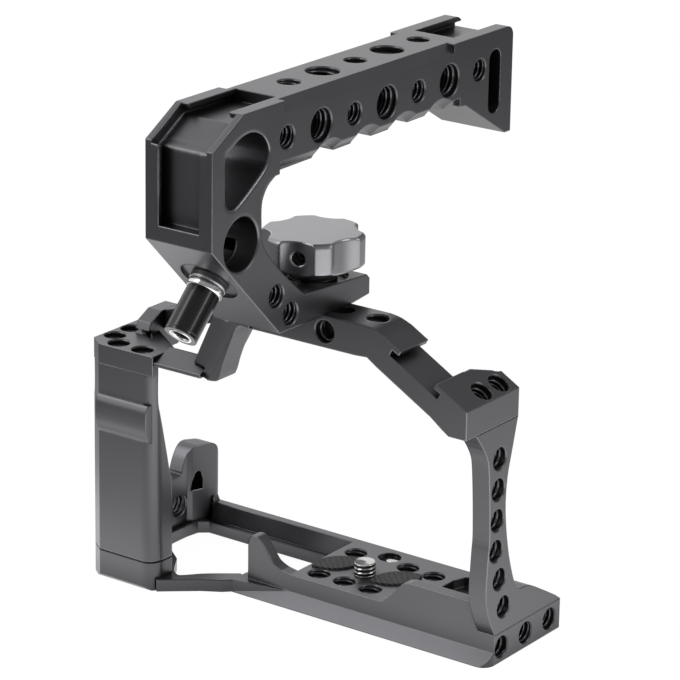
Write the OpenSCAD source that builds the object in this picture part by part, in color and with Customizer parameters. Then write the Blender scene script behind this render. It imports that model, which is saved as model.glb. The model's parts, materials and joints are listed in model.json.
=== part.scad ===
/* [Threads and fits] */
// Outer diameter of the quarter inch thread
quarter_d = 6.35; // [6:0.05:7]
// Rise of the quarter inch thread in one turn
quarter_pitch = 1.27; // [1:0.01:1.5]
// Outer diameter of the three eighths inch thread
three_eighths_d = 9.525; // [9:0.025:10]
// Width of the countersink round a threaded hole
sink_w = 0.35; // [0.2:0.05:0.6]
// Radial clearance of a pin that turns or slides in its hole
run_gap = 0.05; // [0.02:0.01:0.1]
// Clearance between faces of pieces that move past each other
face_gap = 0.1; // [0.05:0.05:0.3]
// Diameter of the small screws that hold the frame together
screw_d = 3; // [2.5:0.1:3.5]
// Diameter of their cylindrical heads
screw_head_d = 5.2; // [4.6:0.1:5.6]
// Height of their cylindrical heads
screw_head_h = 2.6; // [2:0.1:3]

/* [Base plate] */
// From the camera screw's axis to the front wall
plate_front = 14.2; // [13:0.1:16]
// From the camera screw's axis to the rear face
plate_rear = 20.1; // [18:0.1:22]
// From the camera screw's axis to the right end
plate_right = 55.1; // [54:0.1:58]
// Height of the deck that the camera stands on
deck_h = 9.2; // [9:0.1:11]
// Height and reach of the dovetail lip along the front
lip_h = 3.8; // [3:0.1:4.5]
// From the camera screw's axis to the deck's left edge
deck_left = 16.8; // [15:0.1:20]
// Thickness of the wall that stands along the front
wall_t = 3.7; // [3:0.1:4.5]
// Height of the front wall beside the upright
wall_h = 17.5; // [16:0.1:19]
// Height of the tab at the front wall's left end
tab_h = 18; // [16:0.1:20]
// From the camera screw's axis to the tab's left edge
tab_left = 32.4; // [30:0.1:35]
// Thickness of the rear rail at its top
rail_t = 2.7; // [2:0.1:4]
// Thickness of the rear rail at its foot
rail_foot = 5.6; // [4:0.1:7]
// From the camera screw's axis to the left end of the rear rail
rail_left = 69.6; // [66:0.1:72]
// Distance between the threaded holes in the right end face
end_pitch = 12.5; // [11:0.05:13]
// Depth of the threaded holes in the right end face
end_hole_l = 5; // [4:0.1:6]

/* [Side upright] */
// Thickness of the right upright
upright_t = 5.8; // [5:0.1:7]
// Height of the joint between the upright and the corner block
joint_z = 73.1; // [70:0.1:76]
// Depth of the corner block from front to back
block_d = 26; // [24:0.1:28]
// Distance between the threaded holes of the upright
upright_pitch = 9.2; // [8:0.1:9.4]

/* [Top bar] */
// From the camera screw's axis to the top bar's front face
bar_front = 32; // [30:0.1:34]
// Depth of the top bar from front to back
bar_d = 13.2; // [12.5:0.1:15]
// Height of the top bar's upper face
bar_z = 99.1; // [97:0.1:101]
// Thickness of the top bar
bar_t = 9.4; // [9:0.1:11]
// From the camera screw's axis to the top bar's left end
bar_left = 18.6; // [18:0.1:21]
// From the camera screw's axis to the knee where the bar turns down
knee_x = 24; // [22:0.1:25]
// Angle of the bar's shoulder below the level
shoulder_a = 29.6; // [28:0.2:31]
// Distance between the threaded holes along the bar's upper face
bar_pitch = 11.8; // [11:0.1:12]

/* [Accessory shoes] */
// Width of an accessory shoe's slot
shoe_w = 18.6; // [18.5:0.05:18.8]
// Width of the gap between a shoe's lips
shoe_gap = 13.6; // [12.5:0.1:14]
// Thickness of a shoe's lips
shoe_lip = 1.5; // [1.2:0.1:1.8]
// Height of a shoe's slot under the lips
shoe_slot = 2; // [1.9:0.05:2.2]

/* [Grip and left frame] */
// From the camera screw's axis to the grip's front face
grip_front = 33.3; // [32:0.1:35]
// From the camera screw's axis to the grip's right side
grip_right = 53.2; // [52:0.1:54.5]
// From the camera screw's axis to the grip's left side
grip_left = 78; // [76.5:0.1:80]
// Depth of the grip's shell at its foot
grip_d = 9.1; // [8:0.1:10]
// Height of the seam between the grip and its base cap
grip_z = 8.9; // [8:0.1:10]
// Height of the seam between the grip and the head block
head_z = 67.8; // [66:0.1:69]
// Height of the head block's upper face
head_top = 74; // [73:0.1:75.5]
// Thickness of the grip's shell
grip_t = 3; // [2.5:0.1:3.5]
// Radius of the grip's front edges
grip_r = 4.5; // [3:0.1:5]
// Height of the finger ridge's upper edge
ridge_z = 58.6; // [56:0.1:60]
// How far the finger ridge stands out
ridge_h = 1.6; // [1:0.1:2]
// From the camera screw's axis to the cage's left side
cage_left = 79.2; // [78.6:0.1:81]
// Thickness of the left frame's wall
side_t = 5; // [4:0.1:6]

/* [Thumb rest] */
// Height of the thumb rest
rest_h = 28.5; // [27:0.1:31]
// From the camera screw's axis to the thumb rest's right side
rest_right = 70.4; // [70:0.1:72]
// From the camera screw's axis to the thumb rest's front end
rest_front = 3; // [2:0.1:5]

/* [Handle] */
// Width of the handle
handle_w = 22.4; // [22:0.1:24]
// From the camera screw's axis to the handle's front face
handle_front = 82.5; // [80:0.1:85]
// From the camera screw's axis to the handle's rear face
handle_rear = 60.3; // [58:0.1:63]
// Height of the handle's upper face
handle_z = 164.4; // [163:0.1:166]
// Thickness of the handle's grip from top to underside
handle_t = 19.2; // [18:0.1:20]
// Thickness of the handle's rear end
tail_t = 32; // [30:0.1:33]
// Radius of the finger grooves
groove_r = 9; // [8:0.1:10]
// Depth of the finger grooves
groove_h = 4.3; // [3.5:0.1:5]
// Distance between the finger grooves
groove_pitch = 17.9; // [17.2:0.1:18.6]
// Distance between the threaded holes in the handle's sides
side_pitch = 15.47; // [14.5:0.01:16]
// From the camera screw's axis to the rear of the handle's column
column_rear = 60.9; // [60:0.1:62]
// Diameter of the rod that the handle's front bore takes
rod_d = 15; // [14.5:0.1:15.2]
// From the camera screw's axis to the rod bore's axis
rod_y = 69.7; // [69.4:0.1:70.2]
// Height of the rod bore's axis
rod_z = 128.7; // [127.5:0.1:129.5]
// Least wall between the rod bore and the slanted chin
rod_wall = 1.1; // [0.9:0.1:1.4]
// From the camera screw's axis to the end of the handle's foot
foot_rear = 10.2; // [9:0.1:11]
// Thickness of the foot at its rear end
foot_t = 6.8; // [6:0.1:7.5]
// Height of the strap slot in the handle's rear end
strap_h = 19.3; // [17:0.1:20]
// Width of the strap slot
strap_w = 6; // [5:0.1:6.5]

/* [Star knob] */
// Diameter of the star knob over its lobes
knob_d = 29.6; // [28:0.1:31]
// Height of the star knob
knob_h = 10; // [8:0.1:11]
// Number of the star knob's lobes
knob_lobes = 6; // [5:1:8]
// Depth of the hollows between the lobes
knob_hollow = 2.6; // [1.5:0.1:3]
// From the camera screw's axis to the left, to the knob's axis
knob_x = 4.55; // [4:0.05:5]
// From the camera screw's axis to the front, to the knob's axis
knob_y = 22; // [21.6:0.1:23]
// Number of turns that free the handle
knob_turns = 4; // [3:1:4]

/* [Rod clamp] */
// Diameter of the clamp screw's black barrel
barrel_d = 9.5; // [9:0.1:10]
// Length of the black barrel
barrel_l = 15.2; // [13:0.1:17]
// Diameter of the bright rings at the barrel's ends
clamp_ring_d = 10.8; // [10.4:0.1:11.5]
// Thickness of those rings
clamp_ring_t = 1.9; // [1.5:0.1:2.4]
// Diameter of the clamp screw's thread
clamp_d = 6; // [5:0.1:6.4]
// Diameter of the round spot face in the chin
spot_d = 17; // [16:0.1:18]
// Depth of the spot face
spot_h = 0.8; // [0.5:0.1:0.9]

/* [Camera screw and pads] */
// How far the camera screw's thread stands above the deck
screw_reach = 4; // [3:0.1:4.5]
// Diameter of the camera screw's head
camera_head_d = 9.4; // [9:0.1:9.6]
// Height of the camera screw's head
camera_head_h = 2.2; // [2:0.1:2.4]
// Height of the rubber pads above the deck
pad_h = 0.6; // [0.4:0.1:1]
// Depth of the pockets that the rubber pads lie in
pad_sink = 0.5; // [0.3:0.1:0.8]
// Length of a rubber pad
pad_l = 16; // [14:0.1:17]
// Width of a rubber pad
pad_w = 9; // [7:0.1:9.5]

/* [Hidden] */
$fn = 64;
black = "#3a3a3d";
dark = "#202022";
silver = "#b4b5ba";
steel = "#d0d2d6";
// Overrun of every cut past the face it opens
over = 1;

// Points at the given shares of a rectangle from its corner
function spread(shares, corner, size) =
    [for (s = shares) [corner[0] + s[0] * size[0], corner[1] + s[1] * size[1]]];

// Smooth curve through the points, with n steps between each two
function near(p, i) = p[max(0, min(len(p) - 1, i))];
function between(a, b, c, d, t) =
    0.5 * (2 * b + (c - a) * t + (2 * a - 5 * b + 4 * c - d) * t * t + (3 * b - a - 3 * c + d) * t * t * t);
function flow(p, n = 4) = [for (i = [0 : len(p) - 2]) for (k = [0 : n - 1])
    between(near(p, i - 1), near(p, i), near(p, i + 1), near(p, i + 2), k / n), p[len(p) - 1]];

// Arc of a circle round a centre, from one angle to another
function arc(c, r, a0, a1, n = 8) = [for (i = [0 : n]) let (a = a0 + (a1 - a0) * i / n) c + r * [cos(a), sin(a)]];

// Outline in Y and Z carried along X, from x0 to x1
module along_x(x0, x1) {
    translate([x0, 0, 0]) rotate([90, 0, 90]) linear_extrude(x1 - x0) children();
}

// Outline in X and Z carried along Y, from y0 to y1
module along_y(y0, y1) {
    translate([0, y1, 0]) rotate([90, 0, 0]) linear_extrude(y1 - y0) children();
}

// Outline in X and Y carried upwards, from z0 to z1
module along_z(z0, z1) {
    translate([0, 0, z0]) linear_extrude(z1 - z0) children();
}

// Hole with a countersunk mouth at the origin, running down the axis
module tapped(d, l) {
    translate([0, 0, -l]) cylinder(h = l + over, d = d);
    translate([0, 0, -sink_w]) cylinder(h = sink_w + over, d1 = d, d2 = d + 2 * (sink_w + over));
}

// Turns the upward axis to the right or to the front
module to_right() { rotate([0, 90, 0]) children(); }
module to_front() { rotate([90, 0, 0]) children(); }

// Cylindrical screw, head upwards with its top at the origin
module cap_screw(l) {
    difference() {
        union() {
            translate([0, 0, -screw_head_h]) cylinder(h = screw_head_h, d = screw_head_d);
            translate([0, 0, -screw_head_h - l]) cylinder(h = l, d = screw_d);
        }
        translate([0, 0, -screw_head_h / 2]) cylinder(h = screw_head_h, d = screw_d * hex_share, $fn = 6);
    }
}
// Room that such a screw sits in
module cap_screw_room(l) {
    translate([0, 0, -screw_head_h]) cylinder(h = screw_head_h + over, d = screw_head_d);
    translate([0, 0, -screw_head_h - l]) cylinder(h = l + over, d = screw_d);
}
hex_share = 0.95;
module to_side(side) { rotate([0, side * 90, 0]) children(); }

// The base plate. Holes in a row are each drilled a little deeper than the one before
depth_step = 0.4;
end_hole_y = 1.9;
end_hole_z = deck_h / 2;
end_holes = [for (i = [-1 : 1]) [end_hole_y + i * end_pitch, end_hole_l + i * depth_step]];
window_corner = [-cage_left, -grip_front];
window_size = [cage_left - deck_left, plate_rear + grip_front];
window_front_shares = [[0.701, 0.36], [0.683, 0.39], [0.554, 0.27], [0.478, 0.172], [0.449, 0.165], [0.402, 0.21],
    [0.331, 0.34]];
window_rear_shares = [[0.107, 0.54], [0.107, 0.76], [0.118, 0.85], [0.16, 0.89], [0.296, 0.89], [0.918, 0.89], [1, 0.82]];
strut_front_shares = [[0.7, 0.29], [0.666, 0.25], [0.578, 0.187], [0.417, 0.03]];
tab_shares = [[0, 0.86], [0.05, 0.97], [0.16, 1], [0.28, 0.97], [0.44, 0.8], [0.6, 0.62], [0.8, 0.54]];
rise_from_share = 0.25;
rise_shares = [[0.05, 0.53], [0.12, 0.56], [0.2, 0.72], [0.28, 0.93], [0.36, 1]];
lip_left = 35.6;
web_h = 2;
screw_bore_h = deck_h - web_h;
deck_hole_pitch = 9.2;
deck_hole_x = -1.3;
deck_hole_y = -8.4;
deck_holes_rear = [[-11.2, 11.2], [7.6, 11.4], [17.3, 10.8]];
key_hole = [-1.2, 14.4];
key_hole_d = 7;
pocket_shares = [[0.03, 0], [0, 0.04], [0, 0.56], [0.05, 0.85], [0.16, 1], [1, 1], [1, 0]];
pocket_corner = [23.5, 5];
pocket_d = 12.4;
pocket_h = 3;
join_holes = [for (side = [-1, 1]) end_hole_y + side * end_pitch / 2];
join_x = plate_right - upright_t / 2;
join_l = 11;
join_sink = 0.6;
frame_screw_at = [[-75.6, 12.5], [-75.6, -13]];
frame_screw_l = 7;
module base_plate() color(black) difference() {
    union() {
        plate_block();
        plate_wall();
        plate_frame();
    }
    plate_cuts();
}
// Deck with the dovetail lip along its front
module plate_block() {
    along_x(-deck_left, plate_right) polygon([[-plate_front, 0], [plate_rear, 0], [plate_rear, deck_h],
        [-plate_front, deck_h]]);
    along_x(-lip_left, plate_right) polygon([[-plate_front - lip_h, 0], [wall_t - plate_front, 0],
        [wall_t - plate_front, lip_h], [-plate_front, lip_h]]);
}
// Wall along the front, with the tab at its left end and the rise beside the upright
module plate_wall() {
    right = plate_right - upright_t;
    along_y(-plate_front, wall_t - plate_front) polygon(concat(
        [[-tab_left, 0]],
        flow(spread(tab_shares, [-tab_left, 0], [tab_left - deck_left, tab_h])),
        [[-deck_left, deck_h]],
        flow(spread(rise_shares, [right * rise_from_share, 0], [right * (1 - rise_from_share), wall_h])),
        [[right, wall_h], [right, 0]]));
}
// Rear rail, left frame foot and front strut, which run round the battery window
module plate_frame() {
    front = spread(strut_front_shares, window_corner, window_size);
    rear = spread(window_front_shares, window_corner, window_size);
    along_x(-rail_left, -deck_left) polygon([[plate_rear - rail_foot, 0], [plate_rear, 0], [plate_rear, deck_h],
        [plate_rear - rail_t, deck_h]]);
    difference() {
        along_z(0, lip_h) polygon(concat(
            [[-deck_left, -plate_front], [-deck_left, plate_rear], [-rest_cut[0], plate_rear],
            [-cage_left, rest_cut[1]], [-cage_left, 0], [-grip_left, -grip_front + grip_r],
            [-grip_left + grip_r, -grip_front], [-grip_right, -grip_front + corner_share * grip_r]],
            [for (i = [len(front) - 1 : -1 : 0]) front[i]]));
        along_z(-over, lip_h + over) polygon(concat(
            [[-deck_left, -plate_front + wall_t], [-tab_left, -plate_front + wall_t], [-tab_left, -plate_front]],
            flow([for (i = [1 : len(rear) - 1]) rear[i]]),
            spread(window_rear_shares, window_corner, window_size),
            [[-deck_left, plate_rear - rail_foot]]));
    }
}
module plate_cuts() {
    // the lip's rounded right end
    along_z(-over, lip_h) difference() {
        translate([plate_right - lip_h, -plate_front - lip_h - over]) square([lip_h + over, lip_h + over]);
        translate([plate_right - lip_h, -plate_front]) circle(r = lip_h);
    }
    for (h = end_holes) translate([plate_right, h[0], end_hole_z]) to_right() tapped(quarter_d, h[1]);
    for (i = [-1 : 1]) translate([deck_hole_x + i * deck_hole_pitch, deck_hole_y, deck_h])
        tapped(quarter_d, deck_h + over);
    for (p = deck_holes_rear) translate([p[0], p[1], deck_h]) tapped(quarter_d, deck_h + over);
    translate([key_hole[0], key_hole[1], -over]) cylinder(h = deck_h + 2 * over, d = key_hole_d);
    cylinder(h = deck_h + over, r = quarter_d / 2 + run_gap);
    translate([0, 0, -over]) cylinder(h = screw_bore_h + over, r = camera_head_d / 2 + 2 * face_gap);
    for (y = join_holes) translate([join_x, y, join_sink]) upside_down() cap_screw_room(join_l);
    for (p = frame_screw_at) translate([p[0], p[1], frame_head_sink]) upside_down() cap_screw_room(frame_screw_l);
    for (p = pad_at) translate([p[0], p[1], deck_h - pad_sink]) leaf(over);
    along_z(deck_h - pocket_h, deck_h + over) polygon(spread(pocket_shares, pocket_corner,
        [upright_in - pocket_corner[0], pocket_d]));
    key_room();
    along_z(-over, grip_z) polygon(grip_plan());
}
frame_head_sink = 0.3;
module upside_down() { rotate([180, 0, 0]) children(); }

// The side upright
upright_in = plate_right - upright_t;
upright_corner = [-bar_front, deck_h];
upright_size = [block_d, joint_z - deck_h];
upright_front_shares = [[0.685, 0], [0.6, 0.06], [0.51, 0.15], [0.482, 0.24], [0.505, 0.4], [0.52, 0.5],
    [0.475, 0.775], [0.41, 0.88], [0.19, 1]];
upright_rear_shares = [[1, 1], [0.91, 0.86], [0.83, 0.73], [0.815, 0.58], [0.885, 0.402], [1, 0.25],
    [1.12, 0.17], [1.34, 0.155], [1.6, 0.1], [1.9, 0.03]];
side_hole_first = 7.6;
side_hole_shares = [0.84, 0.74, 0.655, 0.66, 0.66, 0.668];
side_holes = [for (i = [0 : len(side_hole_shares) - 1])
    [-bar_front + block_d * side_hole_shares[i], deck_h + side_hole_first + i * upright_pitch]];
module side_upright() color(black) difference() {
    along_x(upright_in, plate_right) polygon(concat(
        flow(spread(upright_front_shares, upright_corner, upright_size)),
        flow(spread(upright_rear_shares, upright_corner, upright_size)),
        [[plate_rear, deck_h]]));
    for (p = side_holes) translate([plate_right, p[0], p[1]]) to_right() tapped(quarter_d, upright_t + over);
    for (y = join_holes) translate([join_x, y, join_sink]) upside_down() cap_screw_room(join_l);
    frame_dowels();
}

// The top bar
down_x = [cos(shoulder_a), -sin(shoulder_a)];
down_z = [sin(shoulder_a), cos(shoulder_a)];
function down(s, n = 0) = [knee_x, bar_z] + s * down_x + n * down_z;
knee_in = bar_t * tan(shoulder_a / 2);
slope_l = (plate_right - knee_x) / cos(shoulder_a);
knee_soft = 3.8;
knee_share = 0.25;
shoe_s = 17.1;
bar_hole_in = 7.6;
bar_hole_x = 8;
bar_face_x = 7;
bar_face_l = 4.2;
under_in = 2.2;
under_up = 1.4;
under_s = 27.4;
block_left = 44.9;
block_left_rear = 48.9;
block_step_share = 0.63;
notch_r = 4;
seat_r = 7.4;
twist_d = 3;
twist_x = 6;
twist_l = 6;
twist_y = -26;
twist_holes = [for (side = [-1, 1]) -knob_x + side * twist_x];
corner_s = 31.8;
corner_l = 6;
corner_holes = [-19.6, -11.1];
module top_bar() color(black) difference() {
    union() {
        along_y(-bar_front, bar_d - bar_front) polygon(bar_points());
        corner_block();
        translate([-knob_x, -knob_y, bar_z - bar_t]) cylinder(h = bar_t, r = seat_r);
    }
    bar_cuts();
    frame_dowels();
}
// Outline of the level bar that turns down over the shoulder to the right corner
function bar_points() = concat(
    [[-bar_left, bar_z]],
    flow([[knee_x - knee_soft, bar_z], [knee_x, bar_z] - knee_in * knee_share * down_z, down(knee_soft)]),
    [down(slope_l), [plate_right, joint_z], [upright_in, joint_z]],
    flow([[upright_in - under_in, joint_z + under_up], down(under_s, -bar_t)]),
    [down(knee_in + knee_soft, -bar_t), down(knee_in, -bar_t) + [0, knee_share], [knee_x - knee_in - knee_soft, bar_z - bar_t],
    [-bar_left, bar_z - bar_t]]);
// Block behind the bar's right end, with a round notch in its rear edge
module corner_block() {
    intersection() {
        along_z(joint_z, bar_z) difference() {
            polygon([[block_left, bar_d - bar_front - over], [block_left, -bar_front + block_d * block_step_share],
                [block_left_rear, block_d - bar_front], [plate_right, block_d - bar_front],
                [plate_right, bar_d - bar_front - over]]);
            translate([block_left, block_d - bar_front]) circle(r = notch_r);
        }
        along_y(-bar_front, block_d - bar_front) polygon(bar_points());
    }
}
module bar_cuts() {
    along_y(-bar_front - over, bar_d - bar_front + over) {
        polygon([down(shoe_s - shoe_gap / 2, -shoe_lip - over), down(shoe_s - shoe_gap / 2, over),
            down(shoe_s + shoe_gap / 2, over), down(shoe_s + shoe_gap / 2, -shoe_lip - over)]);
        polygon([down(shoe_s - shoe_w / 2, -shoe_lip - shoe_slot), down(shoe_s - shoe_w / 2, -shoe_lip),
            down(shoe_s + shoe_w / 2, -shoe_lip), down(shoe_s + shoe_w / 2, -shoe_lip - shoe_slot)]);
    }
    for (i = [0, 1]) translate([bar_hole_x + i * bar_pitch, -bar_front + bar_hole_in, bar_z])
        tapped(quarter_d, bar_t + over);
    translate([bar_face_x, -bar_front, bar_z - bar_t / 2]) to_front() tapped(quarter_d, bar_face_l);
    translate([-knob_x, -knob_y, bar_z - bar_t - over]) cylinder(h = bar_t + 2 * over, r = quarter_d / 2 + run_gap);
    anti_twist_pins();
    for (y = corner_holes) translate([down(corner_s)[0], y, down(corner_s)[1]]) rotate([0, shoulder_a, 0])
        tapped(quarter_d, corner_l);
}

// Dowels between the blocks of the frame: upright ones, and ones that lie from left to right
dowel_d = 2;
head_arm_x = 66.5;
dowel_l = 5;
dowels_up = [[join_x, -22, joint_z], [join_x, -10, joint_z], [-64.5, -31.8, head_z], [-55.9, -31.45, head_z]];
dowels_across = [[-bar_left, -22, 94.4], [-grip_right, -27, 72.6], [-head_arm_x, -8, 77]];
module frame_dowels() color(steel) {
    for (p = dowels_up) translate(p) cylinder(h = dowel_l, d = dowel_d, center = true);
    for (p = dowels_across) translate(p) to_right() cylinder(h = dowel_l, d = dowel_d, center = true);
}

// The shutter side loop: a low front bar that rises as a ramp to the top bar
loop_front = 33;
loop_d = 8;
loop_z = 71.2;
loop_t = 3.8;
loop_nose = 1.1;
ramp_x = 36;
ramp_size = [ramp_x - bar_left, bar_z - loop_z];
ramp_out_shares = [[0, 0], [0.32, 0.015], [0.415, 0.08], [0.5, 0.25], [0.68, 0.54], [0.78, 0.67], [1, 0.67]];
ramp_in_shares = [[1, 1], [0.48, 1], [0.48, 0.66], [0.64, 0.55], [0.26, 0.13], [0, 0.11]];
scoop_at_share = [0.25, 0.105];
scoop_tilt = 28.7;
scoop_turn = -126.6;
scoop_r = 22;
scoop_body_shares = [[-0.3, 0.1], [0.25, 0.1], [0.64, 0.55], [0.48, 0.66], [0.1, 0.66]];
scoop_d = 11;
arm_h = 6;
arm_d = 6.5;
module shutter_loop() color(black) difference() {
    union() {
        loop_ramp();
        loop_arm();
        translate([-bar_left - arm_h, -loop_front + loop_d, bar_z - bar_t])
            cube([arm_h, bar_d - bar_front + loop_front - loop_d, bar_t]);
    }
    frame_dowels();
}
// Ramp with a round scoop in its left front edge, and the low bar that slants down to the front
module loop_ramp() {
    along_x(-grip_right, -ramp_x) polygon([[-loop_front, loop_z], [-loop_front, loop_z + loop_nose],
        [loop_d - loop_front, loop_z + loop_t], [loop_d - loop_front, loop_z]]);
    difference() {
        union() {
            along_y(-loop_front, loop_d - loop_front) polygon(concat(
                flow(spread(ramp_out_shares, [-ramp_x, loop_z], ramp_size)),
                spread(ramp_in_shares, [-ramp_x, loop_z], ramp_size)));
            along_y(-loop_front, scoop_d - loop_front)
                polygon(spread(scoop_body_shares, [-ramp_x, loop_z], ramp_size));
        }
        translate([-ramp_x + scoop_at_share[0] * ramp_size[0], -loop_front, loop_z + scoop_at_share[1] * ramp_size[1]])
            rotate([0, scoop_tilt, 0]) translate(scoop_r * [cos(scoop_turn), sin(scoop_turn), 0])
                cylinder(h = 2 * ramp_size[1], r = scoop_r, center = true);
    }
}
// Rear arm that falls from the bar's left end to the head block
module loop_arm() {
    x0 = -head_arm_x;
    x1 = -bar_left - arm_h;
    z0 = head_top;
    z1 = bar_z - bar_t;
    y0 = -head_rear_end;
    y1 = bar_d - bar_front;
    intersection() {
        along_y(y1 - arm_d - over, y0 + over) polygon([[x0, z0], [x0, z0 + arm_h], [x1, z1 + arm_h],
            [x1 + arm_h, z1 + arm_h], [x1 + arm_h, z1], [x1, z1]]);
        along_z(z0 - over, z1 + arm_h + over) polygon([[x0, y0], [x0, y0 - arm_d], [x1, y1 - arm_d],
            [x1 + arm_h, y1 - arm_d], [x1 + arm_h, y1], [x1, y1]]);
    }
}

// The head block over the grip
head_rear = 13.5;
head_step = 23;
head_rise = 6;
head_rise_w = 5;
head_rise_shares = [[0, 0], [0.1, 0.58], [0.44, 1], [1, 1], [1, -0.2], [0, -0.2]];
head_rise_from = 19;
head_rear_end = 4.5;
head_hole_at = [[-74.3, -24.6], [-74.45, -16.8], [-69, -29.3], [-59.8, -29.6]];
head_pocket = [[-71.6, -17.6], [-70.8, -12.6], [-63.6, -20.6]];
head_pocket_h = 0.5;
head_back = [-58.5, -25.5];
head_back_in = 30.6;
head_plan = [[-grip_left, -grip_front + grip_r * 0.75], [-grip_left + grip_r, -grip_front], [-grip_right, -grip_front],
    [-grip_right, -head_step], [-head_arm_x, -head_rear], [-head_arm_x, -head_rear_end],
    [-grip_left, -head_rear_end]];
module head_block() color(black) difference() {
    union() {
        along_z(head_z, head_top) polygon(head_plan);
        along_x(-head_arm_x - head_rise_w, -head_arm_x) polygon(spread(head_rise_shares, [-head_rise_from, head_top],
            [head_rise_from - head_rear_end, head_rise]));
    }
    for (p = head_hole_at) translate([p[0], p[1], head_top]) tapped(quarter_d, head_top - head_z + over);
    along_z(head_z - over, loop_z) polygon([[-grip_right + over, -head_back_in], [-grip_right, -head_back_in], head_back,
        [-head_arm_x, -head_rear + over], [-grip_right + over, -head_rear + over]]);
    along_z(head_top - head_pocket_h, head_top + over) polygon(head_pocket);
    frame_dowels();
}

// The left frame behind the grip
side_shares = [[1, 0], [0.55, 0.35], [0.2, 0.6], [0, 0.82], [0, 1]];
side_top_shares = [[0.37, 1], [0.39, 0.88], [0.45, 0.57], [0.5, 0.38], [0.567, 0.28]];
side_low_share = 0.27;
side_window_shares = [[0.197, 0.16], [0.197, 0.78], [0.26, 0.83], [0.31, 0.75], [0.345, 0.55], [0.4, 0.35], [0.42, 0.2],
    [0.34, 0.13], [0.197, 0.16]];
module left_frame() color(black) {
    outer = flow(spread(side_shares, [-cage_left, -grip_front + grip_r],
        [cage_left - grip_left, grip_front - grip_r + plate_rear]));
    side_size = [grip_front + plate_rear, head_z - lip_h];
    difference() {
        intersection() {
            along_z(lip_h, head_z) polygon(concat(outer,
                [for (i = [len(outer) - 1 : -1 : 0]) outer[i] + [side_t, 0]]));
            along_x(-cage_left - over, -grip_right) polygon(concat(
                [[-grip_front, lip_h], [-grip_front, head_z]],
                flow(spread(side_top_shares, [-grip_front, lip_h], side_size)),
                [[-rest_front, lip_h + side_low_share * side_size[1]], [-rest_front, lip_h]]));
        }
        along_x(-cage_left - over, -grip_right)
            polygon(flow(spread(side_window_shares, [-grip_front, lip_h], side_size)));
        along_z(0, head_z + over) polygon(grip_plan());
        for (p = frame_screw_at) translate([p[0], p[1], frame_head_sink]) upside_down() cap_screw_room(frame_screw_l);
    }
}

// The grip's shell and the cap under it
cap_bevel = 1.2;
corner_share = 0.75;
function grip_plan(t = 0) = concat(
    [[-grip_left + t, -grip_front + grip_d + over * t], [-grip_left + t, -grip_front + grip_r * corner_share],
    [-grip_left + grip_r, -grip_front + t]],
    arc([-grip_right - grip_r, -grip_front + grip_r], grip_r - t, -90, 0),
    [[-grip_right - t, -grip_front + grip_d + over * t]]);
grip_back_shares = [[1, 0], [1, 0.34], [0.8, 0.52], [0.43, 0.77], [0.33, 0.86], [0.33, 1]];
ridge_shares = [[-1.5, 0], [0, 0], [0.55, 0.2], [0.92, 0.4], [1, 0.62], [0.85, 0.86], [0.35, 1], [0, 1], [-1.5, 1]];
ridge_size = [-ridge_h, 11.6];
ridge_right = 54.5;
seam_h = 0.3;
seam_in = 0.6;
grip_screw_in = 4.6;
grip_screw_at = [[-69, -grip_front + grip_screw_in], [-60.2, -grip_front + grip_screw_in]];
grip_screw_l = 8;
module grip_shell() color(black) difference() {
    union() {
        intersection() {
            difference() {
                union() {
                    along_z(grip_z + seam_h, head_z) polygon(grip_plan());
                    along_z(grip_z, grip_z + seam_h) polygon(grip_plan(seam_in));
                }
                along_z(grip_z + grip_t, head_z - grip_t) polygon(grip_plan(grip_t));
            }
            along_x(-grip_left - over, -grip_right + over) polygon(concat([[-grip_front, head_z], [-grip_front, grip_z]],
                flow(spread(grip_back_shares, [-grip_front, grip_z], [grip_d, head_z - grip_z]))));
        }
        along_x(-grip_left + grip_r, -ridge_right)
            polygon(flow(spread(ridge_shares, [-grip_front, ridge_z - ridge_size[1]], ridge_size)));
    }
    for (p = grip_screw_at) translate([p[0], p[1], join_sink]) upside_down() cap_screw_room(grip_screw_l);
    frame_dowels();
}
module grip_base_cap() color(black) difference() {
    along_z(0, grip_z) polygon(grip_plan());
    along_x(-grip_left - over, -grip_right + over) polygon([[-grip_front - over, cap_bevel + over],
        [-grip_front - over, -over], [-grip_front + cap_bevel + over, -over]]);
    for (p = grip_screw_at) translate([p[0], p[1], join_sink]) upside_down() cap_screw_room(grip_screw_l);
}

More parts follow.
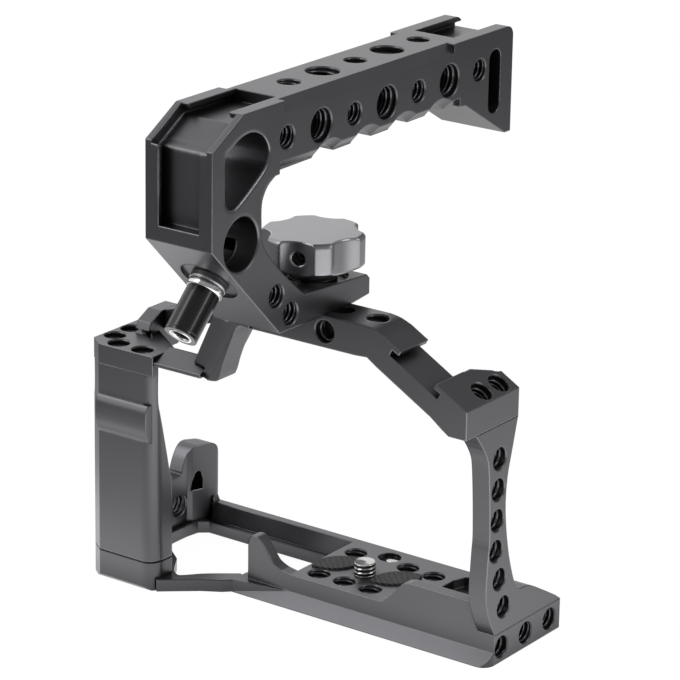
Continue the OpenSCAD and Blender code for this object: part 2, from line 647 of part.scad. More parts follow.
// The thumb rest: the left wall's rear end, with a rounded nose at its top
rest_cut = [75, 14.1];
rest_nose_shares = [[0.68, 1], [0.6, 0.97], [0.52, 0.88], [0.47, 0.79], [0.435, 0.7], [0.41, 0.66], [0.2, 0.65], [0, 0.64]];
rest_in_shares = [[0, 0], [0, 0.54], [0.25, 0.6], [1, 0.96]];
rest_corner_r = 3.5;
rest_rise = 1.5;
rest_hole = [5.8, 10.2];
arch_at = [10.4, 14];
arch_shares = [[0, 0], [0.1, 0.5], [0.35, 0.9], [0.6, 1], [0.85, 0.9], [1, 0.55], [1, 0]];
arch_size = [4.2, 6.2];
arch_l = 2.4;
module thumb_rest() color(black) difference() {
    union() {
        intersection() {
            along_z(lip_h, rest_h) polygon(concat([[-cage_left, -rest_front]],
                spread(rest_in_shares, [-cage_left + side_t, -rest_front], [cage_left - side_t - rest_right, plate_rear + rest_front]),
                [[-rest_right, plate_rear], [-rest_cut[0], plate_rear], [-cage_left, rest_cut[1]]]));
            along_x(-cage_left - over, -rail_left) polygon(concat([[plate_rear, lip_h]],
                arc([plate_rear - rest_corner_r, rest_h - rest_corner_r], rest_corner_r, 0, 90),
                flow(spread(rest_nose_shares, [-rest_front, lip_h], [plate_rear + rest_front, rest_h - lip_h]), 3),
                [[-rest_front, lip_h]]));
        }
        along_y(plate_rear - rail_t, plate_rear) polygon([[-rail_left, lip_h], [-rail_left, deck_h],
            [-rest_right, deck_h + rest_rise], [-rest_right, lip_h]]);
    }
    translate([-cage_left + side_t, rest_hole[0], rest_hole[1]]) to_right() tapped(quarter_d, side_t + over);
    along_x(-cage_left + side_t - arch_l, -rest_right + over) polygon(spread(arch_shares, arch_at, arch_size));
    for (p = frame_screw_at) translate([p[0], p[1], frame_head_sink]) upside_down() cap_screw_room(frame_screw_l);
}

// The rubber pads in their pockets
pad_at = [[-10.6, 1], [9.8, 2]];
pad_turn = 52;
// Leaf between two arcs, standing on the origin
module leaf(h) {
    r = (pad_l * pad_l + pad_w * pad_w) / (4 * pad_w);
    rotate([0, 0, pad_turn]) intersection_for(side = [-1, 1])
        translate([0, side * (r - pad_w / 2), 0]) cylinder(h = pad_sink + h, r = r);
}
module pad(p) color(dark) translate([p[0], p[1], deck_h - pad_sink]) leaf(pad_h);
module pad_left() { pad(pad_at[0]); }
module pad_right() { pad(pad_at[1]); }

// The round key stowed in a groove of the underside, and the magnet at the groove's end
key_d = 4;
key_l = 22;
key_x = -4.5;
key_y = 17.2;
key_z = 5.8;
magnet_l = 3;
module key_room() {
    translate([key_x, key_y, key_z]) to_right() cylinder(h = key_l + magnet_l, d = key_d);
    translate([key_x, key_y - key_d / 2, -over]) cube([key_l + magnet_l, key_d, key_z + over]);
}
module stowed_key() color(steel) translate([key_x, key_y, key_z]) to_right() difference() {
    cylinder(h = key_l, d = key_d);
    translate([0, 0, -over]) cylinder(h = over + key_d, d = key_d * key_hex_share, $fn = 6);
}
key_hex_share = 0.7;
module key_magnet() color(steel) translate([key_x + key_l, key_y, key_z]) to_right() cylinder(h = magnet_l, d = key_d);

// The screws that hold the frame together
module upright_screws() color(dark) for (y = join_holes) translate([join_x, y, join_sink]) upside_down() cap_screw(join_l);
module frame_screws() color(dark) for (p = frame_screw_at)
    translate([p[0], p[1], frame_head_sink]) upside_down() cap_screw(frame_screw_l);
module grip_screws() color(dark) for (p = grip_screw_at)
    translate([p[0], p[1], join_sink]) upside_down() cap_screw(grip_screw_l);

// The handle
handle_left = -knob_x - handle_w / 2;
handle_right = -knob_x + handle_w / 2;
handle_under = handle_z - handle_t;
chin_sum = rod_z - rod_y - (rod_d / 2 + rod_wall) * sqrt(2);
nose_l = 13;
nose_h = 7.6;
nose_a = atan(nose_h / nose_l);
tail_r = 3;
tail_rise = 12.4;
tail_run = 24;
column_shares = [[0.3, 0.98], [0.14, 0.93], [0.04, 0.86], [0, 0.79], [0, 0.66], [0.04, 0.5], [0.4, 0.27], [0.93, 0.02],
    [1, 0]];
column_rise = 1.5;
column_foot = [-column_rear, bar_z + foot_t + column_rise];
column_size = [20.4, handle_under - column_foot[1]];
foot_round = 1.4;
foot_cut = [8, 0.8];
module handle_body() color(black) difference() {
    along_x(handle_left, handle_right) polygon(handle_points());
    handle_edges();
    handle_grooves();
    handle_shoes();
    handle_bores();
    handle_holes();
}
// Side outline of the handle in Y and Z
function handle_points() = concat(
    [[-handle_front, chin_sum + handle_front], [-handle_front, handle_z - nose_h], [-handle_front + nose_l, handle_z]],
    arc([handle_rear - tail_r, handle_z - tail_r], tail_r, 90, 0),
    [[handle_rear, handle_z - tail_t], [handle_rear - tail_r, handle_z - tail_t],
    [handle_rear - tail_run, handle_z - tail_t + tail_rise], [handle_rear - tail_run - tail_r, handle_under]],
    flow(spread(column_shares, column_foot, column_size)),
    [[-foot_rear - foot_round, bar_z + foot_t], [-foot_rear, bar_z + foot_t - foot_round],
    [-foot_rear, bar_z + foot_cut[1]], [-foot_rear - foot_cut[0], bar_z], [chin_sum - bar_z, bar_z]]);
// Chamfers along the upper and lower edges
edge_w = 2.6;
edge_h = 3.1;
edge_from = -51;
edge_to = 29.7;
under_c = 2.5;
under_from = -53;
module handle_edges() {
    half = handle_w / 2;
    for (side = [-1, 1]) {
        along_y(edge_from, edge_to) polygon([for (p = [[half - edge_w, handle_z], [half, handle_z - edge_h],
            [half + over, handle_z - edge_h], [half + over, handle_z + over], [half - edge_w, handle_z + over]])
            [-knob_x + side * p[0], p[1]]]);
        along_y(under_from, handle_rear - tail_run - tail_r) polygon([for (p = [[half - under_c, handle_under - over],
            [half - under_c, handle_under], [half, handle_under + under_c], [half + over, handle_under + under_c],
            [half + over, handle_under - over]]) [-knob_x + side * p[0], p[1]]]);
    }
}
// Finger grooves with flared ends
groove_from = -30.2;
module handle_grooves() {
    inner_r = groove_r - under_c;
    for (i = [0 : 3]) translate([handle_left, groove_from + i * groove_pitch, handle_under + groove_h - groove_r])
        to_right() {
            cylinder(h = handle_w, r = inner_r);
            translate([0, 0, -over]) cylinder(h = under_c + over, r1 = groove_r + over, r2 = inner_r);
            translate([0, 0, handle_w - under_c]) cylinder(h = under_c + over, r1 = inner_r, r2 = groove_r + over);
        }
}
// Accessory shoes: one over the nose, open at its foot, and one open at the rear end
nose_shoe_rise = 4.9;
nose_shoe_z = rod_z + nose_shoe_rise;
nose_shoe_y = 49;
lip_end = 1.5;
tail_shoe_y = 35.7;
// Points of the nose's outline, moved inwards by a depth
function sunk(n) = [[-handle_front + n, nose_shoe_z], [-handle_front + n, handle_z - nose_h - n * tan(45 - nose_a / 2)],
    [-handle_front + nose_l + n * tan(nose_a / 2), handle_z - n], [-nose_shoe_y, handle_z - n]];
module handle_shoes() {
    deep = shoe_lip + shoe_slot;
    inner = sunk(deep);
    outer = sunk(shoe_lip);
    along_x(-knob_x - shoe_gap / 2, -knob_x + shoe_gap / 2) polygon(concat(inner,
        [[-nose_shoe_y, handle_z + over], [-handle_front - over, handle_z + over], [-handle_front - over, nose_shoe_z]]));
    along_x(-knob_x - shoe_w / 2, -knob_x + shoe_w / 2)
        polygon([inner[0], inner[1], inner[2], inner[3], outer[3], outer[2], outer[1], outer[0]]);
    along_x(-knob_x - shoe_w / 2, -knob_x + shoe_w / 2) polygon([inner[1], inner[2],
        [inner[2][0] - lip_end, handle_z + over], [-handle_front - over, handle_z + over],
        [-handle_front - over, inner[1][1] + lip_end]]);
    translate([-knob_x, tail_shoe_y, handle_z - deep]) {
        translate([-shoe_gap / 2, 0, 0]) cube([shoe_gap, handle_rear, deep + over]);
        translate([-shoe_w / 2, 0, 0]) cube([shoe_w, handle_rear, shoe_slot]);
    }
}
// Rod bore, the clamp's bore, the window over it and the strap slot
eye_wall = 3.3;
eye_roof = 5.7;
eye_at = [-77, rod_z + rod_d / 2 + eye_wall];
eye_shares = [[0, 0.12], [0, 0.77], [0.1, 0.85], [0.36, 0.98], [0.62, 1], [0.86, 0.88], [0.98, 0.7], [0.97, 0.56],
    [0.85, 0.38], [0.3, 0.02], [0.1, 0], [0, 0.12]];
eye_size = [19.6, handle_z - eye_roof - eye_at[1]];
strap_drop = 15.2;
strap_at = [51, handle_z - strap_drop];
rod_sink = 0.4;
clamp_at = 69.3;
cotter_d = 9;
cotter_l = 8.6;
cotter_in = 1.2;
channel_l = 12.6;
module handle_bores() {
    translate([handle_left - over, -rod_y, rod_z]) to_right() cylinder(h = handle_w + 2 * over, d = rod_d);
    for (side = [-1, 1]) translate([-knob_x + side * handle_w / 2, -rod_y, rod_z]) to_side(side)
        translate([0, 0, -rod_sink]) cylinder(h = rod_sink + over, d1 = rod_d, d2 = rod_d + 2 * (rod_sink + over));
    along_x(handle_left - over, handle_right + over) polygon(flow(spread(eye_shares, eye_at, eye_size)));
    at_clamp() {
        translate([0, 0, -spot_h]) cylinder(h = spot_h + over, d = spot_d);
        translate([0, 0, -channel_l]) cylinder(h = channel_l, d = cotter_d + 2 * run_gap);
    }
    along_x(handle_left - over, handle_right + over) translate(strap_at) {
        square([strap_w, strap_h - strap_w], center = true);
        for (side = [-1, 1]) translate([0, side * (strap_h - strap_w) / 2]) circle(d = strap_w);
    }
}
// Holes for screws in the handle's sides, its upper face and its foot
side_hole_drop = 10.4;
side_hole_z = handle_z - side_hole_drop;
side_hole_y = -49.7;
side_hole_l = 5;
top_hole_l = 8;
foot_hole_at = [[-53.8, 11], [-47.3, 4.4]];
foot_floor = 5.4;
foot_pocket_r = 10.2;
module handle_holes() {
    for (i = [0 : 6]) for (side = [-1, 1])
        translate([-knob_x + side * handle_w / 2, side_hole_y + i * side_pitch, side_hole_z]) to_side(side)
            tapped(i % 2 == 0 ? quarter_d : three_eighths_d, side_hole_l);
    for (i = [1 : 5]) translate([-knob_x, side_hole_y + i * side_pitch, handle_z])
        tapped(i % 2 == 1 ? quarter_d : three_eighths_d, top_hole_l + (i - 1) * depth_step);
    for (p = foot_hole_at) translate([handle_right, p[0], bar_z + p[1]]) to_right() tapped(quarter_d, side_hole_l);
    translate([-knob_x, -knob_y, bar_z - over]) cylinder(h = foot_t + 2 * over, r = quarter_d / 2 + run_gap);
    translate([-knob_x, -knob_y, bar_z + foot_floor]) cylinder(h = knob_h, r = foot_pocket_r);
    anti_twist_pins();
}
module anti_twist_pins() color(steel) for (x = twist_holes)
    translate([x, twist_y, bar_z]) cylinder(h = twist_l, d = twist_d, center = true);

// The rod clamp: its axis leaves the slanted chin square, outwards along the upward axis
module at_clamp() { translate([-knob_x, -clamp_at, chin_sum + clamp_at]) rotate([135, 0, 0]) children(); }
clamp_stud_in = 4.1;
clamp_seat = face_gap - spot_h;
clamp_end_t = 1;
clamp_recess = 1.2;
clamp_top = clamp_seat + clamp_ring_t + barrel_l + clamp_end_t;
module clamp_cotter() color(steel) difference() {
    at_clamp() translate([0, 0, -cotter_in - cotter_l]) difference() {
        cylinder(h = cotter_l, d = cotter_d);
        translate([0, 0, cotter_l + cotter_in - clamp_stud_in - face_gap])
            cylinder(h = clamp_stud_in, r = clamp_d / 2 + run_gap);
    }
    translate([handle_left, -rod_y, rod_z]) to_right() cylinder(h = handle_w, d = rod_d);
}
// Ring round the clamp's stud, from one height to another
module clamp_ring(z, h, d) {
    at_clamp() translate([0, 0, z]) difference() {
        cylinder(h = h, d = d);
        translate([0, 0, -over]) cylinder(h = h + 2 * over, d = clamp_d);
    }
}
module clamp_root_ring() color(silver) clamp_ring(clamp_seat, clamp_ring_t, clamp_ring_d);
module clamp_barrel() color(dark) clamp_ring(clamp_seat + clamp_ring_t, barrel_l, barrel_d);
module clamp_end_ring() color(silver) clamp_ring(clamp_top - clamp_end_t, clamp_end_t, barrel_d);
module clamp_stud() color(dark) at_clamp() difference() {
    translate([0, 0, -clamp_stud_in]) cylinder(h = clamp_stud_in + clamp_top - clamp_recess, d = clamp_d);
    translate([0, 0, clamp_top - 2 * clamp_recess - screw_d]) cylinder(h = barrel_l, d = screw_d, $fn = 6);
}

// The star knob on its stud, with the washer under it
washer_h = 1.8;
washer_z = bar_z + foot_floor + face_gap;
knob_base = washer_z + washer_h;
hub_h = 2.9;
hub_d = 14;
knob_edge = 0.8;
knob_under = 1.2;
knob_phase = 17;
hollow_r = 9;
knob_cap = 1.6;
set_turn = knob_phase - 1.5 * 360 / knob_lobes;
set_z = hub_h + knob_h / 2;
set_d = 4;
set_l = 5;
stud_spare = 3.92;
stud_l = knob_turns * quarter_pitch + stud_spare;
module knob_washer() color(dark) translate([-knob_x, -knob_y, washer_z]) difference() {
    cylinder(h = washer_h - face_gap, d = hub_d);
    translate([0, 0, -over]) cylinder(h = washer_h + 2 * over, r = quarter_d / 2 + run_gap);
}
module star_knob() color(silver) translate([-knob_x, -knob_y, knob_base]) difference() {
    union() {
        cylinder(h = hub_h + knob_under, d = hub_d);
        translate([0, 0, hub_h]) cylinder(h = knob_under, d1 = knob_d - 2 * knob_hollow, d2 = knob_d);
        translate([0, 0, hub_h + knob_under]) cylinder(h = knob_h - knob_under - knob_edge, d = knob_d);
        translate([0, 0, hub_h + knob_h - knob_edge]) cylinder(h = knob_edge, d1 = knob_d, d2 = knob_d - 2 * knob_edge);
    }
    for (i = [0 : knob_lobes - 1]) rotate([0, 0, knob_phase + (i + 0.5) * 360 / knob_lobes])
        translate([knob_d / 2 - knob_hollow + hollow_r, 0, hub_h - over]) cylinder(h = knob_h + 2 * over, r = hollow_r);
    translate([0, 0, -over]) cylinder(h = hub_h + knob_h - knob_cap + over, d = quarter_d);
    rotate([0, 0, set_turn]) translate([0, 0, set_z]) to_right() cylinder(h = knob_d, d = set_d);
}
module knob_set_screw() color(dark) translate([-knob_x, -knob_y, knob_base]) rotate([0, 0, set_turn])
    translate([0, 0, set_z]) to_right() difference() {
        translate([0, 0, quarter_d / 2]) cylinder(h = set_l, d = set_d);
        cylinder(h = quarter_d, d = quarter_d, $fn = 3);
        translate([0, 0, set_l]) cylinder(h = set_l, d = set_d / 2, $fn = 6);
    }
module knob_stud() color(steel) translate([-knob_x, -knob_y, bar_z - stud_l])
    cylinder(h = stud_l + knob_base - bar_z + hub_h + knob_h - knob_cap, d = quarter_d);

// The camera screw with its ring
ring_t = 0.4;
ring_z = screw_bore_h - face_gap - ring_t;
camera_head_z = ring_z - face_gap - camera_head_h;
slot_w = 1.4;
neck_d = 5.2;
screw_top = deck_h + screw_reach;
module camera_screw_ring() color(dark) translate([0, 0, ring_z]) difference() {
    cylinder(h = ring_t, d = camera_head_d);
    translate([0, 0, -over]) cylinder(h = ring_t + 2 * over, r = quarter_d / 2 + run_gap);
}
module camera_screw() color(steel) difference() {
    union() {
        translate([0, 0, camera_head_z]) cylinder(h = camera_head_h, d = camera_head_d);
        translate([0, 0, camera_head_z]) cylinder(h = deck_h - camera_head_z, d = neck_d);
        translate([0, 0, deck_h]) cylinder(h = screw_reach - sink_w, d = quarter_d);
        translate([0, 0, screw_top - sink_w]) cylinder(h = sink_w, d1 = quarter_d, d2 = quarter_d - 2 * sink_w);
    }
    translate([-camera_head_d, -slot_w / 2, camera_head_z - over]) cube([2 * camera_head_d, slot_w, over + slot_w]);
}

base_plate();
side_upright();
top_bar();
shutter_loop();
head_block();
left_frame();
grip_shell();
grip_base_cap();
thumb_rest();
pad_left();
pad_right();
stowed_key();
key_magnet();
upright_screws();
grip_screws();
frame_screws();
frame_dowels();
handle_body();
anti_twist_pins();
camera_screw_ring();
camera_screw();
knob_washer();
star_knob();
knob_stud();
knob_set_screw();
clamp_cotter();
clamp_barrel();
clamp_root_ring();
clamp_end_ring();
clamp_stud();
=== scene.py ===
"""Camera cage with a top handle, a rod clamp and a star knob, dressed for a studio picture."""
import json
from math import cos, pi, radians, sin

import bpy
import numpy as np
from mathutils import Matrix, Vector


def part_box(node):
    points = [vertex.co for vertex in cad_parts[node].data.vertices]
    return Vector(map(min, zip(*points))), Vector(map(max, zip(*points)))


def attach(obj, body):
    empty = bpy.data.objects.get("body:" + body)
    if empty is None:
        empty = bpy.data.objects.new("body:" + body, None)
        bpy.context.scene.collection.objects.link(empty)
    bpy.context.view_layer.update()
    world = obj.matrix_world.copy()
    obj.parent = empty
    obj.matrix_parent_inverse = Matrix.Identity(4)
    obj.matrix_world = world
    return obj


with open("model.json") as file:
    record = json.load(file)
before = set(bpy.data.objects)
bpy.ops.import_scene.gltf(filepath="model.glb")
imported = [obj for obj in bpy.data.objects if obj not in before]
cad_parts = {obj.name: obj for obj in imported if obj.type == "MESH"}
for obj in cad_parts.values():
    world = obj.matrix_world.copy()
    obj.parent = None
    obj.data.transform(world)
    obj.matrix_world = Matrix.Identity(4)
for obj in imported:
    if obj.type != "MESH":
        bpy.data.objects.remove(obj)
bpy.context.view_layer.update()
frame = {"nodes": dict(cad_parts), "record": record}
scene = bpy.context.scene
scene.view_settings.view_transform = "Standard"

# Camera. It stands a metre from the cage, to the front and right of it, and looks slightly down on
# it, as in the photograph. The lens is long, so the near and the far end keep nearly one scale.
camera_place = (0.52689, -0.75094, 0.3973)
azimuth, elevation, roll = radians(35.61), radians(18.82), radians(-0.99)
backward = np.array([sin(azimuth) * cos(elevation), -cos(azimuth) * cos(elevation), sin(elevation)])
level_right = np.array([cos(azimuth), sin(azimuth), 0.0])
level_up = np.cross(backward, level_right)
rightward = cos(roll) * level_right - sin(roll) * level_up
upward = sin(roll) * level_right + cos(roll) * level_up
turned = Matrix(np.stack([rightward, upward, backward], 1).tolist()).to_quaternion()
camera = bpy.data.objects.new("camera", bpy.data.cameras.new("camera"))
scene.collection.objects.link(camera)
camera.matrix_world = Matrix.LocRotScale(Vector(camera_place), turned, None)
camera.data.lens = 178.84
camera.data.sensor_width = 36
camera.data.shift_x = 0.00147
camera.data.shift_y = -0.01471
camera.data.clip_start = 0.05
scene.camera = camera


# Table. A white sheet runs under the cage. The camera sees it pure white with the cage's soft shadow,
# and the satin faces mirror it: bright close by and beyond the right end, and grey farther off.
class Wire:
    """A socket of a shader's node tree. Plus, minus, times and over on it add Math nodes to the tree."""

    def __init__(self, tree, socket=None):
        self.tree, self.socket = tree, socket

    def add(self, kind, settings=None, *values, out=0, **named):
        """Adds a node of a type, sets it, feeds its sockets in order or by name, and gives one output."""
        node = self.tree.nodes.new("ShaderNode" + kind)
        for name, value in (settings or {}).items():
            setattr(node, name, value)
        by_name = ((name.replace("_", " "), value) for name, value in named.items())
        for place, value in [*enumerate(values), *by_name]:
            if isinstance(value, Wire):
                self.tree.links.new(value.socket, node.inputs[place])
            else:
                node.inputs[place].default_value = value
        return Wire(self.tree, node.outputs[out]) if len(node.outputs) else None

    def maths(self, operation, *values):
        return self.add("Math", {"operation": operation}, *values)

    def vector(self, operation, *values, out="Vector", **named):
        return self.add("VectorMath", {"operation": operation}, *values, out=out, **named)

    def beside(self, name):
        """Another output of the node that this socket belongs to."""
        return Wire(self.tree, self.socket.node.outputs[name])

    def ease(self, low, high, start=0.0, end=1.0):
        """Runs smoothly from start to end while this value goes from low to high."""
        return self.add("MapRange", {"interpolation_type": "SMOOTHSTEP"}, self, low, high, start, end)

    def colour(self, dark, light):
        """Mixes two colours by this value."""
        mix = self.add("Mix", {"data_type": "RGBA"}, out=2)
        self.tree.links.new(self.socket, mix.socket.node.inputs[0])
        mix.socket.node.inputs[6].default_value = (*dark, 1)
        mix.socket.node.inputs[7].default_value = (*light, 1)
        return mix

    def blend(self, first, light):
        """Mixes another colour into a colour socket by this value."""
        mix = self.colour((0, 0, 0), light)
        self.tree.links.new(first.socket, mix.socket.node.inputs[6])
        return mix

    def __add__(self, other):
        return self.maths("ADD", self, other)

    def __sub__(self, other):
        return self.maths("SUBTRACT", self, other)

    def __rsub__(self, other):
        return self.maths("SUBTRACT", other, self)

    def __mul__(self, other):
        return self.maths("MULTIPLY", self, other)

    def __truediv__(self, other):
        return self.maths("DIVIDE", self, other)

    __radd__, __rmul__ = __add__, __mul__


def new_material(name):
    """An empty material and the wire that its nodes start from."""
    material = bpy.data.materials.new(name)
    material.use_nodes = True
    material.node_tree.nodes.clear()
    return material, Wire(material.node_tree)


def mesh_object(name, points, faces, material):
    """A smooth object at the origin, made of an array of points and one of faces."""
    mesh = bpy.data.meshes.new(name)
    mesh.from_pydata(np.asarray(points, float).reshape(-1, 3).tolist(), [], np.asarray(faces).tolist())
    mesh.polygons.foreach_set("use_smooth", np.full(len(mesh.polygons), True))
    mesh.materials.append(material)
    mesh.update()
    piece = bpy.data.objects.new(name, mesh)
    scene.collection.objects.link(piece)
    return piece


# Each patch of the sheet's mirror image: its middle, where its fading starts and ends, its brightness.
mirror_floor = 0.1
mirror_patches = (((0.05, 0.05), (0.06, 0.55), 0.93), ((0.28, 0.44), (0.03, 0.16), 0.4),
                  ((-0.1, -0.02), (0.02, 0.08), 0.7), ((0.28, -0.2), (0.12, 0.34), 1.6))
sheet_white, sheet_glow, glow_share = 0.9, 1.1, 0.88
sheet_half, sheet_z = 3.0, -0.0002


def table_material():
    """White to the camera. Mirrored, it is a sum of round patches, each fading smoothly from its middle."""
    material, wire = new_material("table_white")
    place = wire.add("TexCoord", out="Object")
    mirror_level = mirror_floor
    for middle, fading, brightness in mirror_patches:
        distance = wire.vector("DISTANCE", place, (*middle, 0), out="Value")
        mirror_level = mirror_level + distance.ease(*fading, brightness, 0.0)
    rays = wire.add("LightPath")
    mirrored = rays.maths("MAXIMUM", rays.beside("Is Glossy Ray"), rays.beside("Is Transmission Ray"))
    glow = mirror_level * mirrored + sheet_glow * (1 - mirrored)
    lit = wire.add("Emission", None, (1, 1, 1, 1), glow)
    matt = wire.add("BsdfDiffuse", None, (sheet_white, sheet_white, sheet_white, 1))
    seen = rays.maths("MAXIMUM", rays, mirrored)
    wire.add("OutputMaterial", None, wire.add("MixShader", None, seen * glow_share, matt, lit))
    return material


sheet_corners = [(x * sheet_half, y * sheet_half, sheet_z) for x, y in ((-1, -1), (1, -1), (1, 1), (-1, 1))]
mesh_object("table", sheet_corners, [(0, 1, 2, 3)], table_material())

# Light. A white wall stands at the left of the table, a window is in front on the left, and the rest of
# the room is dimmer, so level tops and broken edges are light and the shoulders dark. One soft lamp
# over the left front draws the shadow, and a second one at the right opens the end faces.
wall_edge, wall_full = -0.22, -0.46
room_level, wall_level, fill_level = 0.3, 0.72, 0.28
window_direction, window_spread, window_level = (-0.55, -0.83, 0.08), (0.93, 0.985), 0.5
world = bpy.data.worlds.new("studio")
scene.world = world
world.use_nodes = True
world.node_tree.nodes.clear()
wire = Wire(world.node_tree)
direction = wire.add("TexCoord", out="Generated")
leftward = wire.add("SeparateXYZ", None, direction)
towards = wire.vector("DOT_PRODUCT", direction, Vector(window_direction).normalized(), out="Value")
wall, window = leftward.ease(wall_edge, wall_full), towards.ease(*window_spread)
mirrored_room = wall * wall_level + window * window_level + room_level
rays = wire.add("LightPath")
mirror_rays = rays.maths("MAXIMUM", rays.beside("Is Glossy Ray"), rays.beside("Is Transmission Ray"))
other_rays = 1 - rays.maths("MAXIMUM", rays, mirror_rays)
light = rays + mirror_rays * mirrored_room + other_rays * fill_level
wire.add("OutputWorld", None, wire.add("Background", None, (1, 1, 1, 1), light))


cage_middle = (0, 0, 0.08)


def soft_lamp(name, place, size, watts):
    """Square area lamp at a place, turned towards the middle of the cage."""
    data = bpy.data.lights.new(name, "AREA")
    data.size, data.energy = size, watts
    lamp = bpy.data.objects.new(name, data)
    scene.collection.objects.link(lamp)
    lamp.location = place
    lamp.rotation_mode = "QUATERNION"
    lamp.rotation_quaternion = (Vector(cage_middle) - Vector(place)).to_track_quat("-Z", "Y")


soft_lamp("lamp_left", (-0.9, -1.1, 1.3), 0.9, 6)
soft_lamp("lamp_right", (1.2, 0.3, 0.8), 0.6, 4)

# Machined body. The plates, upright, bar, grip and handle are milled from aluminium, bead blasted and
# anodised black. Milling leaves broken edges, which the bevelled normal draws as thin light lines. Their
# colour is worn paler and also painted lighter as a painted highlight, and pockets and corners are
# painted darker as painted shade.
drift_scale, grain_scale, grain_depth = 38.0, 2600.0, 0.00003
wide_round = 0.0017
# Where the edge mask starts and ends: edges worn paler and also painted lighter as a painted highlight.
bend_of_wear_and_highlight = (0.99, 0.8)
# How far the occlusion reaches, and the span of it over which pockets and corners get painted shade.
painted_shade_reach, painted_shade_span = 0.014, (0.35, 0.97)
seam_core, seam_edge, upright_slope = 0.00012, 0.00034, (0.3, 0.5)
# The thread's bump depth, and the span of its wave over which the grooves get painted shade.
groove_depth, groove_painted_shade = 0.0002, (0.1, -0.9)
thread_start = 0.0001


def shaded(colour, share):
    """The colour times a share."""
    return [share * part for part in colour]


def satin_metal(name, colour, roughness, edge=0.0006, grain=0.25, metallic=0.88, wear_and_highlight=0.45, painted_shade=0.0,
                soft_spots=(), seams=(), thread=None):
    """Blasted metal: its tone drifts slightly, a fine grain bends its normal, and its edges are rounded.

    Where the rounded normal leaves the flat one, the finish is worn paler and smoother, and its colour is
    also painted lighter there, a painted highlight, where the corner lies open. In pockets and corners
    the colour is painted darker by a given share, a painted shade where the occlusion finds them
    closed. Near each soft spot, a middle and a radius, the edges are milled to a wider round. Upright
    faces darken at the heights of the seams, where the next block begins. A thread is the height of a
    crest over the X axis, the pitch and the height where the thread begins. Its wave is the cosine of
    the height over the pitch, less the turn about Z: 1 on the crests, -1 in the grooves, and 0 below
    the thread. The grooves are painted darker, a painted shade, and the wave bends the normal."""
    material, wire = new_material(name)
    place = wire.add("TexCoord", out="Object")
    drift = wire.add("TexNoise", None, Vector=place, Scale=drift_scale, Detail=3.0)
    fine = wire.add("TexNoise", None, Vector=place, Scale=grain_scale, Detail=2.0)
    rounded = wire.add("Bevel", {"samples": 8}, edge)
    for middle, reach in soft_spots:
        near = wire.vector("DISTANCE", place, middle, out="Value").ease(reach, 0.8 * reach)
        step = wire.vector("SUBTRACT", wire.add("Bevel", {"samples": 8}, wide_round), rounded)
        rounded = wire.vector("ADD", rounded, wire.vector("SCALE", step, Scale=near))
    flat = wire.add("NewGeometry", out="Normal")
    broken = wire.vector("DOT_PRODUCT", rounded, flat, out="Value").ease(*bend_of_wear_and_highlight)
    tone = drift.colour(shaded(colour, 0.9), shaded(colour, 1.1))
    # Ambient occlusion: how open each point is to the light around it.
    open_to_light = wire.add("AmbientOcclusion", {"samples": 8}, Distance=painted_shade_reach, out="AO")
    # The edges are worn paler and also painted lighter, a painted highlight, where the corner lies open.
    tone = (broken * wear_and_highlight * open_to_light).blend(tone, [min(1.0, part + 0.02) for part in shaded(colour, 2.2)])
    # Painted shade: pockets and corners are painted darker by the given share.
    tone = (open_to_light.ease(*painted_shade_span, 1.0, 0.0) * painted_shade).blend(tone, shaded(colour, 0.12))
    for seam in seams:
        height = wire.add("SeparateXYZ", None, place, out="Z")
        slope = wire.maths("ABSOLUTE", wire.add("SeparateXYZ", None, flat, out="Z"))
        line = wire.maths("ABSOLUTE", height - seam).ease(seam_core, seam_edge, 0.9, 0.0)
        tone = (line * slope.ease(*upright_slope, 1.0, 0.0)).blend(tone, shaded(colour, 0.1))
    if thread:
        crest, pitch, foot = thread
        east = wire.add("SeparateXYZ", None, place, out="X")
        north, height = east.beside("Y"), east.beside("Z")
        climbed = (height - crest) / pitch - wire.maths("ARCTAN2", north, east) / (2 * pi)
        wave = wire.maths("COSINE", climbed * (2 * pi)) * height.ease(foot, foot + thread_start)
        # Painted shade: the thread's grooves are painted darker.
        tone = wave.ease(*groove_painted_shade).blend(tone, shaded(colour, 0.12))
        rounded = wire.add("Bump", None, Strength=1.0, Distance=groove_depth, Height=wave, Normal=rounded)
    grained = wire.add("Bump", None, Strength=grain, Distance=grain_depth, Height=fine, Normal=rounded)
    surface = wire.add("BsdfPrincipled", None, Base_Color=tone, Metallic=metallic,
                       Roughness=drift * 0.1 + (roughness - 0.05) - broken * 0.06, Normal=grained)
    wire.add("OutputMaterial", None, surface)
    return material


def anodised(name, **milling):
    """The black finish that every big block has."""
    # Its pockets and corners get painted shade.
    return satin_metal(name, (0.15, 0.148, 0.158), 0.34, painted_shade=0.75, **milling)


def dress(material, *nodes):
    """Gives CAD nodes a material."""
    for node in nodes:
        piece = frame["nodes"][node]
        piece.data.materials.clear()
        piece.data.materials.append(material)


dress(anodised("anodised_black"), "base_plate", "top_bar", "shutter_loop", "head_block", "left_frame",
      "thumb_rest")
stacked = (("anodised_grip", ("grip_shell", "grip_base_cap")), ("anodised_upright", ("side_upright",)))
for name, nodes in stacked:
    low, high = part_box(nodes[0])
    dress(anodised(name, seams=(low[2], high[2])), *nodes)

# Top handle. One block, milled from the same aluminium. The eye behind its nose and the strap slot at
# its rear end are rounded over widely, so that a line or a strap isn't cut by them.
eye = ((-0.0045, -0.069, 0.148), 0.0185)
strap_slot = ((-0.0045, 0.051, 0.1492), 0.0115)
dress(anodised("anodised_handle", soft_spots=(eye, strap_slot)), "handle_body")

